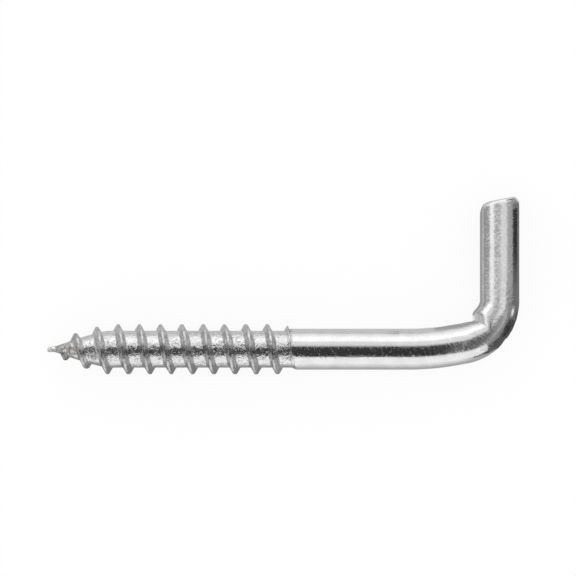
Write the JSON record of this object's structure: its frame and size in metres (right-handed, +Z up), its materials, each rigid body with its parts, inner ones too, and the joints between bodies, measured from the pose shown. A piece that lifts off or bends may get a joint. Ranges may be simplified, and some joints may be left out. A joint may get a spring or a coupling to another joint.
{
  "type": "screw hook",
  "caption": "L-shaped steel wire hook with a gimlet-pointed wood thread and a bright zinc finish; it screws into a wall or shelf and carries what hangs over its upturned arm.",
  "frame": {"origin": "on the screw's axis at the shoulder where the thread ends, which is the wall's face once the hook is driven home", "axes": "+X along the screw from its tip towards the bend, +Y along the arm towards its free end, +Z up from the bench that the hook lies on"},
  "size_m": [0.0576, 0.0217, 0.0062],
  "materials": {
    "zinc": "bright zinc plating over steel, with fine scratches"
  },
  "bodies": {
    "root": {"screw_hook": "zinc"}
  },
  "joints": []
}
